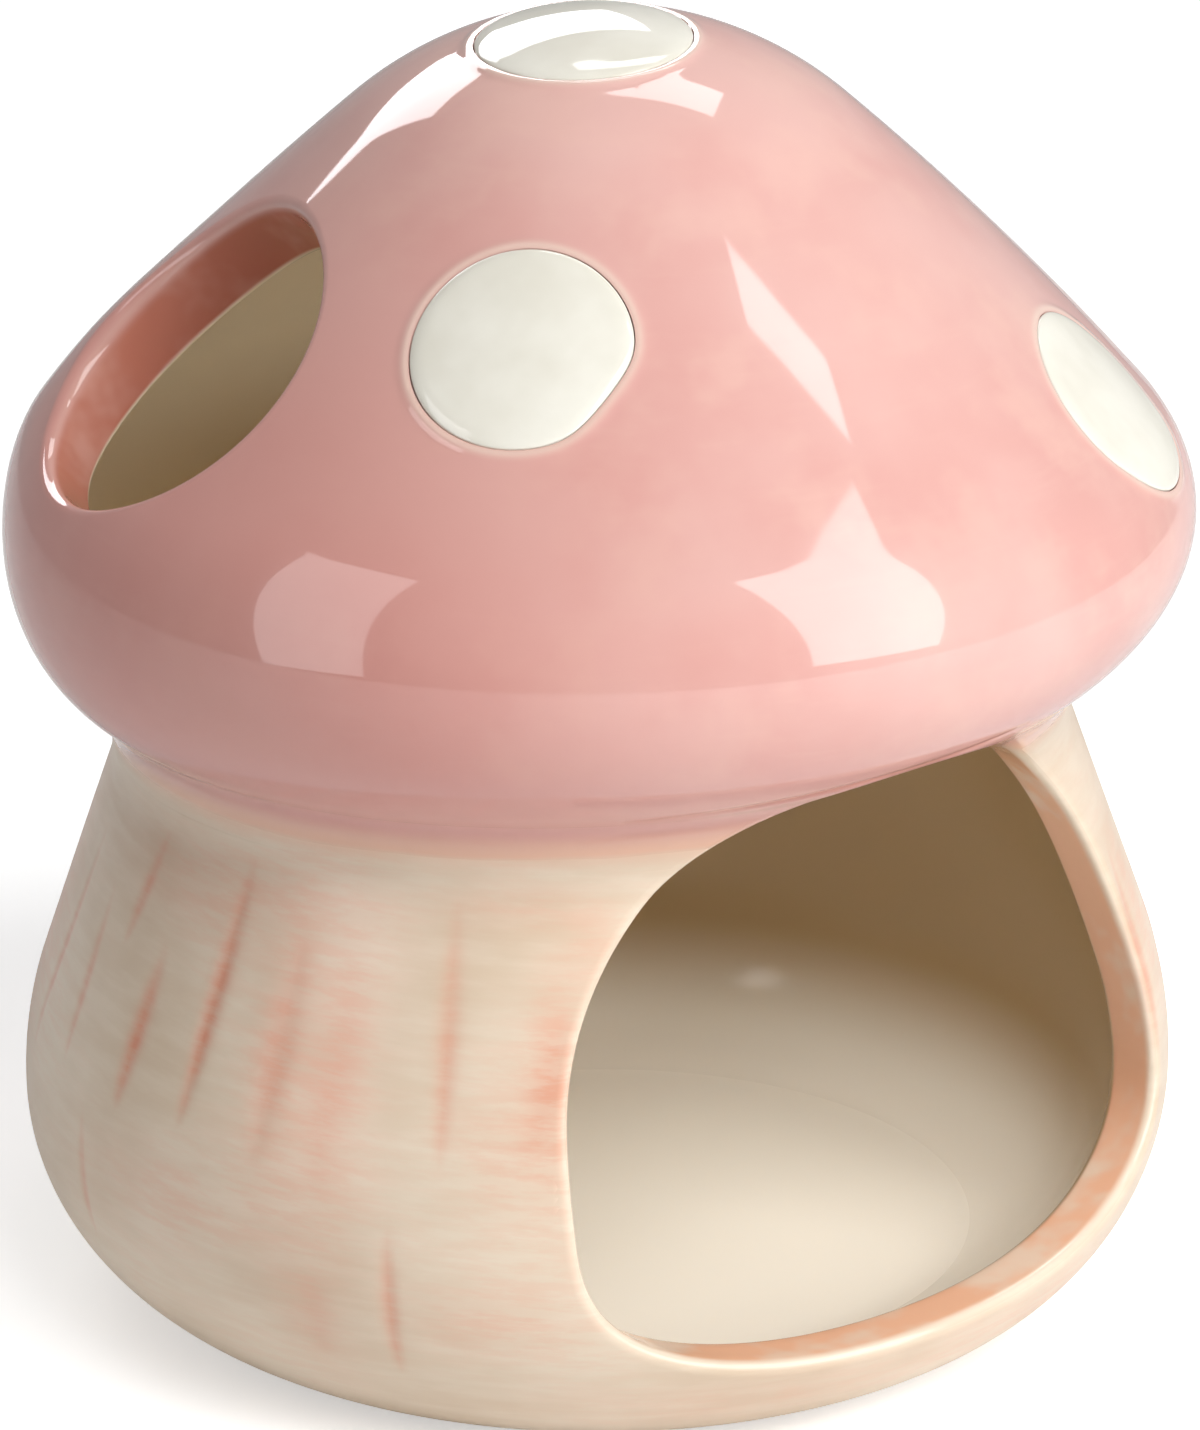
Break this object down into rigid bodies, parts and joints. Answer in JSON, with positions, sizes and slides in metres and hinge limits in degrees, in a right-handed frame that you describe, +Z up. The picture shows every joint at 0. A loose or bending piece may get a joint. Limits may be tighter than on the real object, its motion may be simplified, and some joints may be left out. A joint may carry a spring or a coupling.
{
  "type": "ceramic mushroom hide",
  "caption": "Hollow glazed mushroom for a fish tank or a small pet's cage: a spotted cap with a round window on a wide stem with an arched door.",
  "frame": {"origin": "middle of the foot, on the surface that the house stands on", "axes": "+Z up through the crown of the cap, -Y out of the door, +X to the right for someone who faces the door"},
  "size_m": [0.1197, 0.1199, 0.1347],
  "materials": {
    "pink_glaze": "glossy clear glaze over brushed pink, a little uneven",
    "cream_glaze": "glossy clear glaze over cream with brushed peach and brown streaks",
    "blush_glaze": "glossy clear glaze over slip, where the pink fades into the cream",
    "white_glaze": "glossy warm white glaze"
  },
  "bodies": {
    "root": {"cap_shell": "pink_glaze", "stem_shell": "cream_glaze", "neck_slip_coil": "blush_glaze", "disc_top": "white_glaze", "disc_front_left": "white_glaze", "disc_front_right": "white_glaze", "disc_rear_right": "white_glaze", "disc_rear": "white_glaze"}
  },
  "joints": []
}
